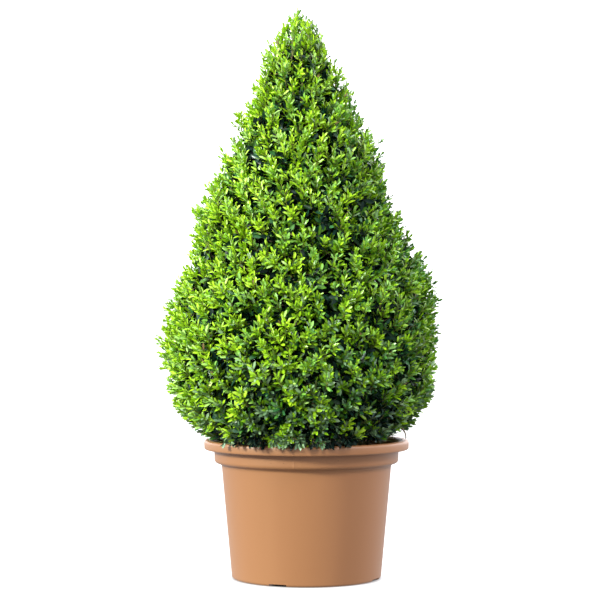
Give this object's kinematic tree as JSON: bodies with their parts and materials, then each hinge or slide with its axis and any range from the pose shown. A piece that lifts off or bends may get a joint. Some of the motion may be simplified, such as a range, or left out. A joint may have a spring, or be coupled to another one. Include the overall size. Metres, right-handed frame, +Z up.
{
  "type": "potted boxwood cone topiary",
  "caption": "Boxwood shrub clipped to a tall cone with a rounded foot, growing in a round terracotta-coloured plastic nursery pot.",
  "frame": {"origin": "centre of the pot's flat underside", "axes": "+Z up along the pot's axis, -Y the side shown to the front, +X to the right of it"},
  "size_m": [0.5126, 0.5277, 1.0489],
  "materials": {
    "pot": "terracotta-coloured moulded plastic with a satin sheen",
    "compost": "moist dark brown bark-based compost",
    "bark": "finely cracked pale grey-brown bark",
    "foliage": "small leathery glossy leaves, yellow-green at the tips and dark green inside"
  },
  "bodies": {
    "root": {"pot": "pot", "compost": "compost", "stem": "bark", "bough_lower_1": "bark", "foliage_lower_1": "foliage", "bough_lower_2": "bark", "foliage_lower_2": "foliage", "bough_lower_3": "bark", "foliage_lower_3": "foliage", "bough_lower_4": "bark", "foliage_lower_4": "foliage", "bough_lower_5": "bark", "foliage_lower_5": "foliage", "bough_middle_1": "bark", "foliage_middle_1": "foliage", "bough_middle_2": "bark", "foliage_middle_2": "foliage", "bough_middle_3": "bark", "foliage_middle_3": "foliage", "bough_middle_4": "bark", "foliage_middle_4": "foliage", "bough_middle_5": "bark", "foliage_middle_5": "foliage", "bough_upper_1": "bark", "foliage_upper_1": "foliage", "bough_upper_2": "bark", "foliage_upper_2": "foliage", "bough_upper_3": "bark", "foliage_upper_3": "foliage", "bough_upper_4": "bark", "foliage_upper_4": "foliage", "foliage_tip": "foliage"}
  },
  "joints": []
}
